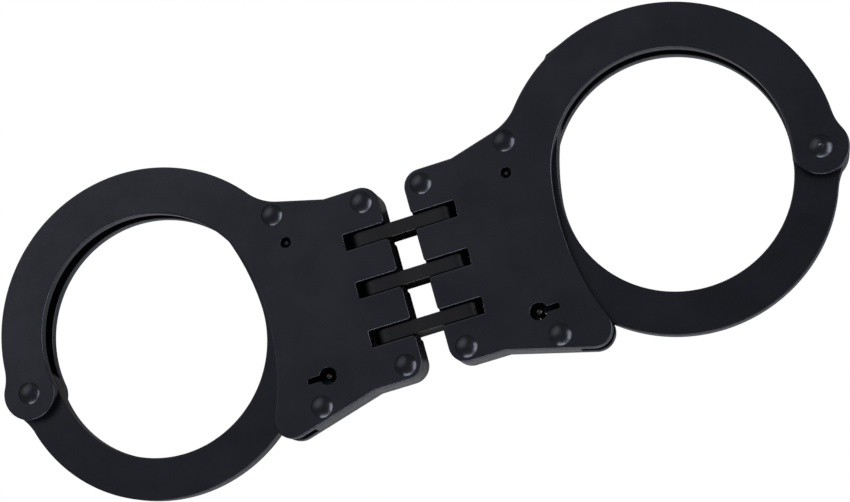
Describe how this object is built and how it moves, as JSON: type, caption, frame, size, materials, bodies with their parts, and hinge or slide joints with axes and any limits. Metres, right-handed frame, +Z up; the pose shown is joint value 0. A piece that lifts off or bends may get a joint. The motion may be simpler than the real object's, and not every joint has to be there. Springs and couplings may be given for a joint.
{
  "type": "hinged handcuffs",
  "caption": "Hinged double-lock handcuffs: two steel cuffs with swinging ratchet arms, joined by rigid hinge links.",
  "frame": {"origin": "on the surface the cuffs lie on, under the middle of the bounding box", "axes": "+X along the length from the left cuff to the right one, +Y from the arms to the double-plate bows, +Z up out of the front plates"},
  "size_m": [0.2268, 0.087, 0.0125],
  "materials": {
    "plate": "blued steel, satin",
    "spacer": "blued steel, satin",
    "arm": "blued steel, satin",
    "link": "black oxide steel, satin",
    "rivet": "blued steel, polished domes",
    "works": "plain hardened steel",
    "spring": "spring steel"
  },
  "bodies": {
    "left_cuff": {"left_front_plate": "plate", "left_back_plate": "plate", "left_body_spacer": "spacer", "left_hinge_pin": "works", "left_pawl_pin": "works", "left_pawl_spring": "spring", "left_detent_spring": "spring", "left_key_post": "works", "left_hinge_rivet_upper": "rivet", "left_hinge_rivet_lower": "rivet", "left_lock_rivet_upper": "rivet", "left_lock_rivet_lower": "rivet", "left_pivot_rivet": "rivet"},
    "left_arm": {"left_swing_arm": "arm"},
    "left_pawl_body": {"left_pawl": "works"},
    "left_slide_body": {"left_double_lock_slide": "works"},
    "right_cuff": {"right_front_plate": "plate", "right_back_plate": "plate", "right_body_spacer": "spacer", "right_hinge_pin": "works", "right_pawl_pin": "works", "right_pawl_spring": "spring", "right_detent_spring": "spring", "right_key_post": "works", "right_hinge_rivet_upper": "rivet", "right_hinge_rivet_lower": "rivet", "right_lock_rivet_upper": "rivet", "right_lock_rivet_lower": "rivet", "right_pivot_rivet": "rivet"},
    "right_arm": {"right_swing_arm": "arm"},
    "right_pawl_body": {"right_pawl": "works"},
    "right_slide_body": {"right_double_lock_slide": "works"},
    "links": {"upper_link": "link", "middle_link": "link", "lower_link": "link"}
  },
  "joints": [
    {"name": "hinge_left", "type": "hinge", "parent": "left_cuff", "child": "links", "pos_m": [-0.0106, -0.00585, 0.00625], "axis": [0, -1, 0], "range_deg": [-90, 90]},
    {"name": "hinge_right", "type": "hinge", "parent": "links", "child": "right_cuff", "pos_m": [0.0106, -0.00585, 0.00625], "axis": [0, -1, 0], "range_deg": [-90, 90]},
    {"name": "left_arm_swing", "type": "hinge", "parent": "left_cuff", "child": "left_arm", "pos_m": [-0.1064, -0.00585, 0.00625], "axis": [0, 0, -1], "continuous": true},
    {"name": "left_pawl_lift", "type": "hinge", "parent": "left_cuff", "child": "left_pawl_body", "pos_m": [-0.0299, 0.01195, 0.00625], "axis": [0, 0, 1], "range_deg": [0, 5], "stiffness_Nm_per_rad": 0.05, "springref_deg": -5.73, "deforming": ["left_pawl_spring"]},
    {"name": "left_double_lock", "type": "slide", "parent": "left_cuff", "child": "left_slide_body", "axis": [0, 1, 0], "range_m": [-0.003, 0], "deforming": ["left_detent_spring"]},
    {"name": "right_arm_swing", "type": "hinge", "parent": "right_cuff", "child": "right_arm", "pos_m": [0.1064, -0.00585, 0.00625], "axis": [0, 0, 1], "continuous": true},
    {"name": "right_pawl_lift", "type": "hinge", "parent": "right_cuff", "child": "right_pawl_body", "pos_m": [0.0299, 0.01195, 0.00625], "axis": [0, 0, -1], "range_deg": [0, 5], "stiffness_Nm_per_rad": 0.05, "springref_deg": -5.73, "deforming": ["right_pawl_spring"]},
    {"name": "right_double_lock", "type": "slide", "parent": "right_cuff", "child": "right_slide_body", "axis": [0, 1, 0], "range_m": [-0.003, 0], "deforming": ["right_detent_spring"]}
  ]
}
